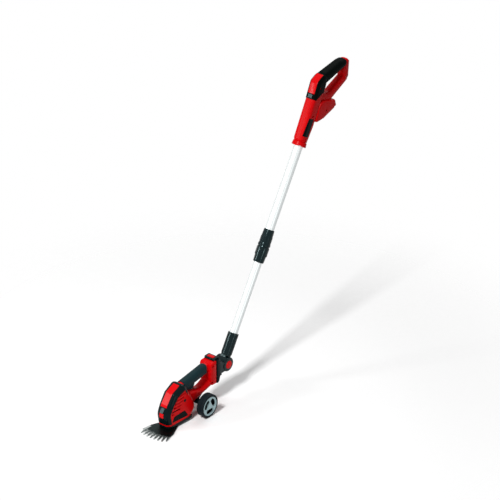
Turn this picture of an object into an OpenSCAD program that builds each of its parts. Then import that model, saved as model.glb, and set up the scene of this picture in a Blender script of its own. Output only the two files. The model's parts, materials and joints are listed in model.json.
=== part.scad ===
// Cordless grass shears: a wheeled shear head on a tilting telescopic pole with a D-handle.
// Millimetres. +X is the tool's left, -Y is forward, +Z is up.
// The origin lies on the comb blade's underside, on the axis that the moving blade swings about.

/* [Head housing] */
// Width of the motor body at its back
head_w = 62; // [58:1:66]
// Wall of the moulded shells
wall = 2.5; // [2:0.1:3]
// Share of its width that the motor body loses towards the nose
nose_taper = 0.27; // [0.15:0.01:0.3]
// Rounding of the motor body's side edges
head_edge = 16; // [12:1:18]
// Reach of the nose ahead of the blade pivot
nose_reach = 87; // [84:1:96]
// Height of the motor body's roof
body_top = 131; // [128:1:136]
// Reach of the motor body behind the blade pivot
body_back = 46; // [42:1:48]
// Width of the grip bar with its soft skin
grip_w = 32; // [28:1:36]
// Height of the grip bar with its soft skin
grip_h = 35; // [33:1:37]
// Slope of the grip bar, in degrees
grip_rise = 7; // [4:0.5:9]
// Height of the grip bar's middle above the blade pivot
grip_z = 112; // [111:0.5:113]
// Thickness of the soft skin on the grip bars
soft_t = 2.6; // [1.8:0.1:3.2]
// Width of the arm under the finger opening
arm_w = 37; // [32:1:42]
// Width of the battery shoe at the back
shoe_w = 48; // [44:1:54]
// Front of the battery shoe behind the blade pivot
shoe_y = 117; // [114:1:122]
// Depth of the battery shoe
shoe_d = 32; // [28:1:38]
// Underside of the battery shoe
shoe_low = 63; // [60:1:66]
// Top of the battery shoe
shoe_top = 144; // [142:1:150]
// Thickness of the nose cover
cover_t = 1.3; // [1:0.1:1.8]
// Thickness of the inlay panels
panel_t = 0.9; // [0.6:0.1:1.4]
// Width of the nose panel
panel_w = 23; // [20:1:26]

/* [Blades] */
// Thickness of each blade
blade_t = 2.4; // [1.8:0.1:3]
// Reach of the comb's teeth from the pivot
comb_r = 144; // [138:1:150]
// Reach of the moving blade's teeth from the pivot
mover_r = 139; // [132:1:146]
// Radius at the bottom of the comb's gullets
gullet_r = 105; // [100:1:110]
// Number of comb teeth
comb_teeth = 9; // [7:1:9]
// Angle between neighbouring teeth
tooth_pitch = 5.5; // [5:0.1:6]
// Diameter of the pivot stud
stud_d = 8; // [6:0.5:10]
// Height of the cassette base under the housing
sole_h = 9.8; // [9:0.2:12]

/* [Drive] */
// Tooth size, as the gears' module
gear_m = 1; // [0.9:0.05:1.1]
// Teeth of the drive gear
gear_teeth = 40; // [36:1:44]
// Teeth of the motor pinion
pinion_teeth = 10; // [10:1:12]
// Face width of the drive gear
gear_t = 6; // [5:0.5:7]
// Distance of the drive gear ahead of the blade pivot
crank_reach = 34; // [32:1:38]
// Throw of the eccentric
crank_throw = 1.7; // [1.2:0.1:2]
// Diameter of the eccentric
crank_d = 9; // [8:0.5:10]
// Diameter of the gear axle
gear_pin_d = 6; // [5:0.5:7]
// Diameter of the motor
motor_d = 36; // [32:1:38]
// Length of the motor's can
motor_l = 57; // [50:1:60]
// Diameter of the motor shaft
shaft_d = 4; // [3:0.5:5]

/* [Wheels] */
// Diameter of the wheels
wheel_d = 75; // [70:1:80]
// Width of each wheel
wheel_w = 24; // [20:1:28]
// Room between the motor body and a wheel, seen from the front
wheel_room = 10; // [8:0.5:15]
// Distance of the axle behind the blade pivot
axle_y = 65; // [62:1:70]
// Diameter of the axle
axle_d = 8; // [6:0.5:10]
// Diameter of the hub caps
cap_d = 61; // [56:1:62]
// Number of spokes
spokes = 3; // [3:1:5]

/* [Tilt joint] */
// Distance of the tilt pivot behind the blade pivot
tilt_y = 207; // [204:1:214]
// Height of the tilt pivot
tilt_z = 102; // [98:1:104]
// Diameter of the barrel
barrel_d = 46; // [42:1:48]
// Width of the barrel
barrel_w = 44; // [40:1:50]
// Width of the lug between the cheeks
lug_w = 18; // [16:1:20]
// Diameter of the tilt pin
tilt_pin_d = 12; // [10:0.5:14]
// Diameter of the release button
button_d = 26; // [22:1:30]
// Travel of the release button
button_travel = 3; // [2:0.5:3.5]
// Thickness of the adapter plate
plate_t = 19; // [16:0.5:20]

/* [Pole] */
// Lean of the pole from upright, in degrees
pole_lean = 31.3; // [25:0.1:36]
// Diameter of the lower tube
lower_d = 25; // [22:0.5:26]
// Diameter of the upper tube
upper_d = 28.4; // [28:0.1:30]
// Wall of both tubes
tube_t = 1.2; // [1:0.1:1.4]
// Diameter of the ribbed socket
socket_d = 32; // [31:0.5:36]
// Length of the ribbed socket
socket_l = 72; // [60:1:90]
// Lower end of the twist lock, from the tilt pivot
lock_s = 325.5; // [320:0.5:360]
// Length of the twist lock
lock_l = 106; // [96:1:120]
// Diameter of the twist lock's middle ring
lock_d = 39.5; // [38:0.5:44]
// Lower rim of the handle, from the tilt pivot
handle_s = 702; // [690:1:720]
// Length of the lower tube inside the upper tube
tube_lap = 95; // [80:1:110]

/* [Upper handle] */
// Width of the neck
neck_w = 37; // [35:1:42]
// Width of the grip with its soft skin
hand_w = 37; // [34:1:40]
// Width of the loop's rear and lower bars
loop_w = 30; // [26:1:34]
// Width of the battery foot
foot_w = 42; // [40:1:48]
// Diameter of the flared rim
rim_d = 46; // [44:1:50]

/* [Clearances] */
// Gap between pieces that are fixed together
seat = 0.1; // [0.05:0.05:0.2]
// Radial gap of turning and sliding fits
run = 0.05; // [0.03:0.01:0.08]
// Gap around buttons and triggers
slack = 0.4; // [0.3:0.05:0.6]

/* [Hidden] */

$fn = 48;
// A length that reaches past the whole tool
far = 1200;
red = "#c8102e";
black = "#26282b";
soft_black = "#1b1c1e";
grey = "#b9bdbf";
steel = "#8d9296";
alloy = "#d9dcde";

// Outlines with rounded corners. A corner is [u, v, radius], and corners run counter-clockwise.

function unit(v) = v / norm(v);

function edge(c, i) =
    let (a = c[i % len(c)], b = c[(i + 1) % len(c)])
    unit([b[0] - a[0], b[1] - a[1]]);

function corner_arc(c, i, inset, steps) =
    let (
        e1 = edge(c, i + len(c) - 1),
        e2 = edge(c, i),
        n1 = [-e1[1], e1[0]],
        n2 = [-e2[1], e2[0]],
        turn = sign(e1[0] * e2[1] - e1[1] * e2[0]),
        angle = acos(min(1, e1 * e2)),
        r = max(c[i][2] - turn * inset, 0.3),
        middle = [c[i][0], c[i][1]] + (inset + turn * r) * (n1 + n2) / (1 + n1 * n2)
    )
    [for (j = [0 : steps])
        let (t = turn * angle * j / steps)
        middle - turn * r * [n1[0] * cos(t) - n1[1] * sin(t), n1[0] * sin(t) + n1[1] * cos(t)]];

function outline(c, inset = 0, steps = 3) =
    [for (i = [0 : len(c) - 1]) each corner_arc(c, i, inset, steps)];

// A skin over rings of equally many points, closed by a flat cap at each end.
module skin(rings) {
    n = len(rings[0]);
    m = len(rings);
    polyhedron(
        points = [for (ring = rings) each ring],
        faces = concat(
            [[for (i = [0 : n - 1]) i]],
            [for (q = [0 : m - 2], i = [0 : n - 1])
                let (a = q * n + i, b = q * n + (i + 1) % n)
                each [[a, a + n, b + n], [a, b + n, b]]],
            [[for (i = [0 : n - 1]) m * n - 1 - i]]
        )
    );
}

// Share of the full width left at a given y, for a moulding that narrows towards the nose
function narrowed(y, taper) = 1 - taper * (body_back - y) / (body_back + nose_reach);

function ring_at_x(x, points, taper = 0) = [for (p = points) [x * narrowed(p[0], taper), p[0], p[1]]];
function ring_at_z(z, points) = [for (p = points) [p[0], p[1], z]];

// Where the rings of a rounded side edge stand, as [x, inset]
function edge_rings(half_w, r, grow, steps) =
    [for (j = [0 : steps])
        let (t = 90 * j / steps)
        [half_w + grow - r * (1 - sin(t)), r * (1 - cos(t)) - grow]];

// Half of a moulding: a side outline carried out to its rounded side edge
module half_moulding(c, width, r, grow = 0, from = 0, steps = 3, taper = 0) {
    e = max(r + grow, 1);
    skin(concat(
        [ring_at_x(from, outline(c, -grow, steps))],
        [for (k = edge_rings(width / 2, e, grow, steps)) ring_at_x(k[0], outline(c, k[1], steps), taper)]
    ));
}

// A whole moulding, rounded on both sides
module moulding(c, width, r, grow = 0, steps = 3, taper = 0) {
    e = max(r + grow, 1);
    rings = edge_rings(width / 2, e, grow, steps);
    last = len(rings) - 1;
    skin(concat(
        [for (j = [0 : last]) ring_at_x(-rings[last - j][0], outline(c, rings[last - j][1], steps), taper)],
        [for (k = rings) ring_at_x(k[0], outline(c, k[1], steps), taper)]
    ));
}

// Joins the lofts and cuts of one moulding into a single skin.
module one_skin() resize([0, 0, 0]) children();

// Carries a side outline, drawn as [y, z], from one x to another.
module side(x0, x1) translate([x0, 0, 0]) rotate([90, 0, 90]) linear_extrude(x1 - x0) children();

module rod_x(x0, x1, d, at) translate([x0, at[0], at[1]]) rotate([0, 90, 0]) cylinder(d = d, h = x1 - x0);

module block(low, high) translate(low) cube(high - low);

module flipped() mirror([1, 0, 0]) children();

// Stands a piece on the pole: Y then points back, square to the pole, and Z along it from the tilt pivot.
module on_pole() translate([0, tilt_y, tilt_z]) rotate([-pole_lean, 0, 0]) children();

module tube(d, bore, s0, s1) translate([0, 0, s0]) difference() {
    cylinder(d = d, h = s1 - s0);
    translate([0, 0, -1]) cylinder(d = bore, h = s1 - s0 + 2);
}

// Head: side outlines

sole_z = 2 * blade_t + 0.4;
floor_z = sole_z + sole_h;

body = [
    [9 - nose_reach, 0, 6],
    [body_back - 34, 0, 6],
    [body_back, 38, 24],
    [body_back - 16, 72, 20],
    [4, body_top - 11, 10],
    [-6, body_top, 12],
    [-48, body_top - 17, 9],
    [15 - nose_reach, 84, 26],
    [-nose_reach - 0.6, 56, 30]
];

function grip_mid(y) = grip_z + y * tan(grip_rise);
function grip_bar(y0, y1, h, r) = [
    [y0, grip_mid(y0) - h / 2, r],
    [y1, grip_mid(y1) - h / 2, r],
    [y1, grip_mid(y1) + h / 2, r],
    [y0, grip_mid(y0) + h / 2, r]
];
core_h = grip_h - 2 * soft_t;
core_w = grip_w - 2 * soft_t;
core_edge = 11.5;
skin_edge = core_edge + soft_t;
shoe_back = shoe_y + shoe_d;
core = grip_bar(-12, shoe_y + 12, core_h, 3);
grip_skin = grip_bar(-12, shoe_y + 1, grip_h, 9);

shoe_edge = 8;
shoe = [
    [shoe_y + 8, shoe_low + 1, 6],
    [shoe_back, shoe_low, 3],
    [shoe_back, shoe_top, 3],
    [shoe_y + 2, shoe_top, 10],
    [shoe_y, shoe_low + 30, 20]
];

arm_edge = 11;
arm = [
    [12, 30, 4],
    [body_back + 4, 43, 30],
    [shoe_y + 22, shoe_low - 1, 8],
    [shoe_y + 14, shoe_low + 34, 4],
    [shoe_y, shoe_low + 21, 22],
    [shoe_y - 30, shoe_low + 8, 40],
    [body_back - 2, 86, 22],
    [body_back - 24, 92, 4]
];

// The nose cover takes in the front, the roof and their rounded edges, this far round onto the flanks.
cover_reach = head_edge - 2.6;
cover_shift = [0.7, 0.4];
cover_low = floor_z + 6;
cover_back = 3;
module cover_zone() difference() {
    translate([-far, cover_low]) square([far + cover_back, far]);
    translate(cover_shift) polygon(outline(body, cover_reach));
}

trigger_w = 12;
trigger_hinge = [20, 105.5];
pivot_d = 5;
pivot_l = trigger_w + 2 * slack + 6;
pivot_gap = 0.3;
lock_off_at = [-10, 80];
lock_off_d = 9;
lock_off_travel = 2.5;

release_z = 69;
release_w = 13;
release_h = 14;
release_r = 3;

screw_d = 3.6;
screw_head_d = 7;
screw_head_t = 2.5;
screw_seat = 2;
screw_l = 26;
housing_screw_at = [
    [-62, 52],
    [29, 58],
    [100, 62],
    [shoe_y + 10, shoe_low + 12],
    [shoe_y + 12, shoe_top - 12]
];
housing_screw_half = [flank_x(-62), head_w / 2, arm_w / 2, shoe_w / 2, shoe_w / 2];

contacts_w = 34;
contacts_z = [88, 122];
contacts_d = 12;

vent_count = 5;
vent_pitch = 11.2;
vent_low = 60;
vent_h = 5;
vent_deep = 2;
vent_y0 = 24 - nose_reach;
vent_l = 31;
vent_step = 6;

module body_form(grow) moulding(body, head_w, head_edge, grow, taper = nose_taper);

// Half width of the motor body at a given y
function flank_x(y) = head_w / 2 * narrowed(y, nose_taper);
flank_turn = atan((flank_x(body_back) - flank_x(-nose_reach)) / (body_back + nose_reach));

// Turns a piece about the flank's rear end, so that it lies along the left flank.
module on_flank() translate([head_w / 2, body_back, 0]) rotate([0, 0, -flank_turn])
    translate([0, -body_back, 0]) children();

// Solid form of one half of the head housing
module head_half_solid(grow = 0, from = 0) {
    half_moulding(body, head_w, head_edge, grow, from, taper = nose_taper);
    half_moulding(core, core_w, core_edge, grow, from, 2);
    half_moulding(shoe, shoe_w, shoe_edge, grow, from, 2);
    half_moulding(arm, arm_w, arm_edge, grow, from);
}

// Room inside one half for the drive, the switch and the contacts
module head_half_room() {
    half_moulding(body, head_w, head_edge, -wall, -1, 1, nose_taper);
    half_moulding(core, core_w, core_edge, -wall, -1, 1);
    half_moulding(shoe, shoe_w, shoe_edge, -wall, -1, 1);
}

module release_outline(gap = 0) {
    w = release_w / 2 + gap;
    h = release_h / 2 + gap;
    polygon(outline([[-w, -h, release_r], [w, -h, release_r], [w, h, release_r], [-w, h, release_r]]));
}

module release_bar(y0, y1, gap = 0)
    translate([0, y1, release_z]) rotate([90, 0, 0]) linear_extrude(y1 - y0) release_outline(gap);

// A slot with round ends, cut into the left flank
module vent(y0, y1, z, deep) {
    r = vent_h / 2;
    on_flank() side(-deep, far) {
        translate([y0, z - r]) square([y1 - y0, vent_h]);
        for (y = [y0, y1]) translate([y, z]) circle(r, $fn = 8);
    }
}

module vents() for (i = [0 : vent_count - 1])
    let (y = vent_y0 + vent_step * i)
    vent(y, y + vent_l, vent_low + vent_pitch * i, i == 0 ? wall + 1 : vent_deep);

module trigger_slot(gap) block(
    [-trigger_w / 2 - gap, 12, 70],
    [trigger_w / 2 + gap, 68, 116]
);

module screw_boss(at, half_w) rod_x(0, half_w - 1, 9, at, $fn = 8);

// Boss and bore that carry a trigger's pivot inside one half
module pivot_boss(at, half_w) rod_x(0, half_w - 1, 2 * pivot_d, at, $fn = 12);
module pivot_bore(at) rod_x(-1, pivot_l / 2 + pivot_gap, pivot_d + 2.4 * pivot_gap, at, $fn = 16);

module head_half(left) one_skin() difference() {
    head_half_solid();
    difference() {
        head_half_room();
        pivot_boss(trigger_hinge, core_w / 2);
        for (i = [0 : len(housing_screw_at) - 1])
            screw_boss(housing_screw_at[i], housing_screw_half[i]);
    }
    block([-1, -far, -far], [far, far, floor_z]);
    vents();
    release_bar(-far, 20 - nose_reach, slack);
    trigger_slot(slack);
    pivot_bore(trigger_hinge);
    side(-1, contacts_w / 2 + seat)
        translate([shoe_back - contacts_d - seat, contacts_z[0] - seat])
        square([far, contacts_z[1] - contacts_z[0] + 2 * seat]);
    for (i = [0 : len(housing_screw_at) - 1]) {
        rod_x(-1, left ? far : screw_l / 2, screw_d + 2 * seat, housing_screw_at[i], $fn = 10);
        if (left) rod_x(screw_l / 2 - screw_seat, far, screw_head_d + slack, housing_screw_at[i], $fn = 16);
    }
    if (left) {
        rod_x(0, far, lock_off_d + slack, lock_off_at, $fn = 24);
        on_flank() badge(seat, -badge_sink, far);
    }
}

module left_shell() color(red) head_half(true);
module right_shell() color(red) flipped() head_half(false);

// Bare plate low on the left flank
badge_sink = 0.8;
badge_t = 1.2;
badge_corners = [[20 - nose_reach, 25, 2.5], [4, 22, 2.5], [-11, 45, 2.5], [31 - nose_reach, 43, 8]];
module badge(gap, x0, x1) side(x0, x1) polygon(outline(badge_corners, -gap));
module badge_plate() color(black) on_flank() badge(0, seat - badge_sink, badge_t - badge_sink);

module nose_cover() color(black) one_skin() difference() {
    intersection() {
        body_form(cover_t);
        side(-far, far) cover_zone();
    }
    body_form(seat);
    moulding(core, core_w, core_edge, seat, steps = 2);
    release_bar(-far, 0, slack);
}

// A thin pad on the middle of the nose cover, between two heights, ending at a given y
module nose_pad(z0, z1, width, y1) one_skin() intersection() {
    difference() {
        body_form(cover_t + seat + panel_t);
        body_form(cover_t + seat);
    }
    block([-width / 2, -far, z0], [width / 2, y1, z1]);
}

module nose_panel() color(red) nose_pad(release_z + release_h / 2 + 2, far, panel_w, -16);
module release_trim() color(red) nose_pad(44, release_z - release_h / 2 - 2, release_w + 2, 0);

module release_button() color("#4a4e52") intersection() {
    release_bar(-nose_reach - 4, 26 - nose_reach);
    side(-far, far) polygon([
        [-nose_reach - 3, 0],
        [far, 0],
        [far, 85],
        [14 - nose_reach, 85],
        [-nose_reach - 3.2, 62]
    ]);
}

module soft_grip_half() one_skin() difference() {
    half_moulding(grip_skin, grip_w, skin_edge);
    head_half_solid(seat, -1);
    trigger_slot(slack);
    side(-1, far) translate([-far, 0]) square([far + cover_back + 2, far]);
}
module left_soft_grip() color(soft_black) soft_grip_half();
module right_soft_grip() color(soft_black) flipped() soft_grip_half();

trigger_outline = [
    [26, 83, 4],
    [36, 79, 8],
    [58, 87, 6],
    [64, 96, 4],
    [62, 105, 3],
    [20, 112, 5],
    [14, 104, 4]
];
module head_trigger() color(soft_black) {
    one_skin() moulding(trigger_outline, trigger_w, 3, steps = 2);
    rod_x(-pivot_l / 2, pivot_l / 2, pivot_d, trigger_hinge);
}

switch_y = [26, 48];
switch_z = [115, 122];
module head_switch() color("#3a3d40") {
    ear = core_w / 2 - wall - 0.2;
    block([-6, switch_y[0], switch_z[0]], [6, switch_y[1], switch_z[1]]);
    block([-ear, switch_y[0] + 6, switch_z[0]], [ear, switch_y[1] - 6, switch_z[0] + 2]);
    translate([0, 34, switch_z[0] - 3]) cylinder(d = 5, h = 4);
}

module lock_off_button() color(soft_black) {
    flank = flank_x(lock_off_at[0]);
    rod_x(motor_d / 2 + lock_off_travel + slack, flank + 1, lock_off_d, lock_off_at);
}

// Screw along X whose head rests on the floor of a counterbore in the left shell
module screw(length, at) {
    head_x = length / 2 - screw_seat;
    rod_x(seat - length / 2, head_x + 1, screw_d, at);
    rod_x(head_x, head_x + screw_head_t, screw_head_d, at);
}

module housing_screws() color(steel) for (at = housing_screw_at) screw(screw_l, at);

module head_contacts() color(black) difference() {
    block(
        [-contacts_w / 2, shoe_back - contacts_d, contacts_z[0]],
        [contacts_w / 2, shoe_back, contacts_z[1]]
    );
    for (x = [-10, 0, 10]) block(
        [x - 1, shoe_back - 8, contacts_z[0] + 5],
        [x + 1, shoe_back + 1, contacts_z[1] - 5]
    );
}

// Drive

gear_r = gear_m * gear_teeth / 2;
pinion_r = gear_m * pinion_teeth / 2;
crank_y = -crank_reach;
motor_y = crank_y + gear_r + pinion_r;
gear_z = floor_z + 7;
plate_z = gear_z + gear_t + 2.5;
motor_plate_t = 3;
motor_z = plate_z + motor_plate_t;
hub_d = gear_pin_d + 10;

// Straight-flanked teeth with room for backlash
module gear_outline(teeth, turn = 0) {
    r = gear_m * teeth / 2;
    step = 360 / teeth;
    polygon([for (i = [0 : teeth - 1])
        each [for (k = [[-0.31, -1.2], [-0.11, 0.85], [0.11, 0.85], [0.31, -1.2]])
            let (a = turn + step * (i + k[0]))
            (r + gear_m * k[1]) * [cos(a), sin(a)]]]);
}

module drive_gear() color("#e3dfd2") translate([0, crank_y, 0]) difference() {
    union() {
        translate([0, 0, gear_z]) linear_extrude(gear_t) gear_outline(gear_teeth, 90);
        translate([0, 0, floor_z + 1]) cylinder(d = hub_d, h = plate_z - floor_z - 1.5);
        translate([crank_throw, 0, blade_t + 0.5]) cylinder(d = crank_d, h = floor_z + 1.2 - blade_t - 0.5);
    }
    translate([0, 0, floor_z + 3]) cylinder(d = gear_pin_d + 2 * run, h = far);
}

module gear_axle() color(steel) translate([0, crank_y, floor_z + 3.3])
    cylinder(d = gear_pin_d, h = motor_z - floor_z - 3.3);

module motor_pinion() color(steel) translate([0, motor_y, 0]) {
    translate([0, 0, gear_z - 0.5]) linear_extrude(gear_t + 1)
        gear_outline(pinion_teeth, -90 + 180 / pinion_teeth);
    translate([0, 0, gear_z - 1.5]) cylinder(d = shaft_d, h = motor_z - gear_z + 22);
}

module motor_plate() color(steel) difference() {
    front = crank_y - 20;
    back = motor_y + 18;
    front_half = flank_x(front) - wall - 0.2;
    back_half = flank_x(back) - wall - 0.2;
    translate([0, 0, plate_z]) linear_extrude(motor_plate_t) polygon(outline([
        [-front_half, front, 6],
        [front_half, front, 6],
        [back_half, back, 2],
        [-back_half, back, 2]
    ]));
    translate([0, crank_y, 0]) cylinder(d = gear_pin_d, h = far);
    translate([0, motor_y, 0]) cylinder(d = 13, h = far);
}

module motor() color(steel) translate([0, motor_y, 0]) difference() {
    translate([0, 0, motor_z]) union() {
        cylinder(d = motor_d, h = motor_l);
        translate([0, 0, -motor_plate_t + 0.5]) cylinder(d = 12.6, h = motor_plate_t);
        translate([0, 0, motor_l - 0.1]) cylinder(d = 12, h = 4);
    }
    cylinder(d = shaft_d + 2 * run, h = motor_z + 23);
}

// Blade cassette

sole_half = head_w / 2 - 0.5;
sole_nose = flank_x(8 - nose_reach) - 0.5;
sole_front = 8 - nose_reach;
sole_back = body_back - 22;
sole_corners = [
    [-sole_nose, sole_front, 13],
    [sole_nose, sole_front, 13],
    [sole_half, sole_back, 6],
    [-sole_half, sole_back, 6]
];
foot_y = [stud_d / 2 + 7, stud_d / 2 + 15];
foot_half = 17;
blade_screw_d = 3;
blade_screw_at = [for (x = [-12, 12]) [x, (foot_y[0] + foot_y[1]) / 2]];

module sole() color(black) difference() {
    union() {
        skin([
            ring_at_z(sole_z, outline(sole_corners, 2.4)),
            ring_at_z(sole_z + 0.8, outline(sole_corners, 0.8)),
            ring_at_z(sole_z + 2.6, outline(sole_corners)),
            ring_at_z(floor_z, outline(sole_corners))
        ]);
        block([-foot_half, foot_y[0], blade_t], [foot_half, foot_y[1], sole_z + 1]);
    }
    translate([0, crank_y, -1]) cylinder(d = crank_d + 2 * crank_throw + 2, h = far);
    translate([0, 0, -1]) cylinder(d = stud_d, h = sole_z + 5);
    for (p = blade_screw_at) translate([p[0], p[1], -1])
        cylinder(d = blade_screw_d, h = sole_z + 6, $fn = 24);
}

tooth_tip = 3;
tip_r = 1.2;
gullet_round = 2;
bevel = 1;

function turned(p, a) = [p[0] * cos(a) - p[1] * sin(a), p[0] * sin(a) + p[1] * cos(a), p[2]];

// Row of forward teeth, as two corners at each tip and one in each gullet. End teeth may be shorter.
function tooth_row(count, half_fan, r0, r1, end_r1) =
    [for (i = [0 : count - 1])
        let (a = tooth_pitch * i - half_fan, last = i == count - 1, r = i == 0 || last ? end_r1 : r1)
        each concat(
            [turned([-tooth_tip / 2, -r, tip_r], a), turned([tooth_tip / 2, -r, tip_r], a)],
            last ? [] : [turned([0, -r0, gullet_round], a + tooth_pitch / 2)]
        )];

// Blade between two heights, bevelled towards one of its faces
module blade(corners, z0, z1, inset0, inset1) one_skin() skin([
    ring_at_z(z0, outline(corners, inset0, 1)),
    ring_at_z(z1, outline(corners, inset1, 1))
]);

fan = tooth_pitch * (comb_teeth - 1) / 2;
fan_half = gullet_r * sin(fan + tooth_pitch / 2);
comb_end_r = comb_r - 14;
comb_half = 22;
web_l = 20;
comb_corners = concat(
    tooth_row(comb_teeth, fan, gullet_r, comb_r, comb_end_r),
    [[fan_half, web_l - gullet_r, 6], [comb_half, crank_y, 8], [comb_half, foot_y[1], 4]],
    [[-comb_half, foot_y[1], 4], [-comb_half, crank_y, 8], [-fan_half, web_l - gullet_r, 6]]
);

module comb_blade() color(steel) difference() {
    blade(comb_corners, 0, blade_t, bevel, 0);
    translate([0, 0, blade_t / 3]) cylinder(d = stud_d, h = blade_t);
    for (p = blade_screw_at) translate([p[0], p[1], -1]) {
        cylinder(d = blade_screw_d, h = far, $fn = 24);
        cylinder(d = 2 * blade_screw_d, h = 2.2, $fn = 24);
    }
}

mover_z = blade_t + 0.1;
mover_fan = fan - tooth_pitch / 2;
mover_half = fan_half - 6;
mover_web = web_l + 4;
mover_arm = 17;
mover_hub_r = stud_d / 2 + 5.5;
swing = tooth_pitch / 2;
yoke_half = crank_d / 2 + crank_throw + crank_reach * sin(2 * swing) + 0.8;
mover_corners = concat(
    tooth_row(comb_teeth - 1, mover_fan, gullet_r - 2, mover_r, mover_r),
    [[mover_half, mover_web - gullet_r, 4], [mover_arm, crank_y - 14, 4], [mover_arm, crank_y + 12, 4]],
    [for (a = [10 : 40 : 170]) [mover_hub_r * cos(a) / cos(20), mover_hub_r * sin(a) / cos(20), 4]],
    [[-mover_arm, crank_y + 12, 4], [-mover_arm, crank_y - 14, 4], [-mover_half, mover_web - gullet_r, 4]]
);

// The moving blade stands at the left end of its swing, with its teeth over those of the comb.
module moving_blade() color("#3b3f42") rotate([0, 0, swing]) difference() {
    blade(mover_corners, mover_z, mover_z + blade_t, 0, bevel);
    cylinder(d = stud_d + 2 * run, h = far);
    translate([-yoke_half, crank_y - yoke_half, 0]) cube([2 * yoke_half, 2 * yoke_half, far]);
}

module blade_pivot() color(steel) translate([0, 0, blade_t / 3])
    cylinder(d = stud_d, h = sole_z + 4 - blade_t / 3);

module blade_screws() color(steel) for (p = blade_screw_at) translate([p[0], p[1], 0]) {
    translate([0, 0, 0.2]) cylinder(d = 2 * blade_screw_d - 0.2, h = 1);
    translate([0, 0, 0.3]) cylinder(d = blade_screw_d - 0.1, h = sole_z + 4);
}

// Wheels

axle_z = wheel_d / 2;
wheel_in = head_w / 2 + wheel_room;
wheel_out = wheel_in + wheel_w;
axle_half = wheel_out - 10;
boss_d = axle_d + 10;
rim_r = cap_d / 2 + 0.4;
bracket_d = axle_d + 9;
bracket_half = wheel_in - 3;
bracket_rib_t = 3;

// Slope of the arm's underside, which the bracket follows
arm_a = arm[1];
arm_b = arm[2];
function arm_low(y) = arm_a[1] + (y - arm_a[0]) * (arm_b[1] - arm_a[1]) / (arm_b[0] - arm_a[0]);

module wheel_bracket() color(black) difference() {
    union() {
        rod_x(-bracket_half, bracket_half, bracket_d, [axle_y, axle_z]);
        side(-arm_w / 2 + 6, arm_w / 2 - 6) polygon([
            [axle_y - 7, axle_z],
            [axle_y + 8, axle_z],
            [axle_y + 24, arm_low(axle_y + 24) - seat],
            [axle_y - 8, arm_low(axle_y - 8) - seat]
        ]);
        for (x = [-9, 9]) side(x - bracket_rib_t / 2, x + bracket_rib_t / 2) polygon([
            [axle_y, axle_z + 2],
            [axle_y + 12, axle_z + 1],
            [axle_y + 32, arm_low(axle_y + 32) - 4 * seat],
            [axle_y, arm_low(axle_y) - 3]
        ]);
    }
    rod_x(-far, far, axle_d + 2 * run, [axle_y, axle_z]);
}

module axle() color(steel) rod_x(-axle_half, axle_half, axle_d, [axle_y, axle_z]);

clip_t = 1.2;
module axle_clips() color(steel) for (s = [-1, 1]) translate([s * (wheel_in - 1.6), axle_y, axle_z])
    rotate([0, 90, 0]) translate([0, 0, -clip_t / 2]) difference() {
        cylinder(d = axle_d + 5, h = clip_t);
        translate([0, 0, -1]) cylinder(d = axle_d, h = clip_t + 2);
    }

// Wheel section as [radius, distance out from the inner face]
module wheel_section() polygon([
    [axle_d / 2 + run, 0.5],
    [boss_d / 2, 0.5],
    [boss_d / 2, 5],
    [rim_r, 5],
    [rim_r, 1.5],
    [rim_r + 2, 0],
    [axle_z - 2.5, 0],
    [axle_z - 0.8, 0.8],
    [axle_z, 2.5],
    [axle_z, wheel_w / 2 - 4],
    [axle_z - 1, wheel_w / 2 - 3.2],
    [axle_z - 1, wheel_w / 2 + 3.2],
    [axle_z, wheel_w / 2 + 4],
    [axle_z, wheel_w - 2.5],
    [axle_z - 0.8, wheel_w - 0.8],
    [axle_z - 2.5, wheel_w],
    [rim_r + 1, wheel_w],
    [rim_r, wheel_w - 1],
    [rim_r, 8],
    [boss_d / 2, 8],
    [boss_d / 2, wheel_w - 7],
    [0, wheel_w - 7],
    [0, wheel_w - 9],
    [axle_d / 2 + run, wheel_w - 9]
]);

module on_left_wheel() translate([wheel_in, axle_y, axle_z]) rotate([0, 90, 0]) children();

module wheel() on_left_wheel() rotate_extrude($fn = 72) wheel_section();
module left_wheel() color(soft_black) wheel();
module right_wheel() color(soft_black) flipped() wheel();

spoke_turn = 117;
cap_rim = 5.2;

// D-shaped window between two spokes
module cap_window() intersection() {
    circle(cap_d / 2 - cap_rim);
    polygon(outline([[9.5, -15, 4], [far, -15, 1], [far, 15, 1], [9.5, 15, 4]]));
}

module hub_cap() on_left_wheel() {
    translate([0, 0, wheel_w - 4]) linear_extrude(3) difference() {
        circle(cap_d / 2);
        for (i = [0 : spokes - 1]) rotate(spoke_turn + 360 / spokes * i) cap_window();
    }
    translate([0, 0, wheel_w - 6]) linear_extrude(5.6) difference() {
        circle(cap_d / 2);
        circle(cap_d / 2 - 3.2);
    }
    translate([0, 0, wheel_w - 7 + seat]) cylinder(d = boss_d, h = 6.6);
}
module left_hub_cap() color(grey) hub_cap();
module right_hub_cap() color(grey) flipped() hub_cap();

// Tilt joint

adapter_y = shoe_back + seat;
adapter_back = adapter_y + plate_t;
hood_top = shoe_top + 8;
hood_w = 36;
adapter_outline = [
    [adapter_y, shoe_low - 1, 3],
    [adapter_back - 8, shoe_low - 1, 9],
    [adapter_back, shoe_low + 24, 14],
    [adapter_back, shoe_top - 10, 14],
    [adapter_back - 6, hood_top - 1, 5],
    [adapter_y - 11, hood_top, 3],
    [adapter_y - 11, shoe_top + seat, 1],
    [adapter_y, shoe_top + seat, 0.4]
];
latch_w = 24;
latch_y = [adapter_y - 7, adapter_y + 6];
latch_low = shoe_top + 2.7;
latch_travel = 2.5;

module latch_block(gap, low, high) block(
    [-latch_w / 2 - gap, latch_y[0] - gap, low],
    [latch_w / 2 + gap, latch_y[1] + gap, high]
);

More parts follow.
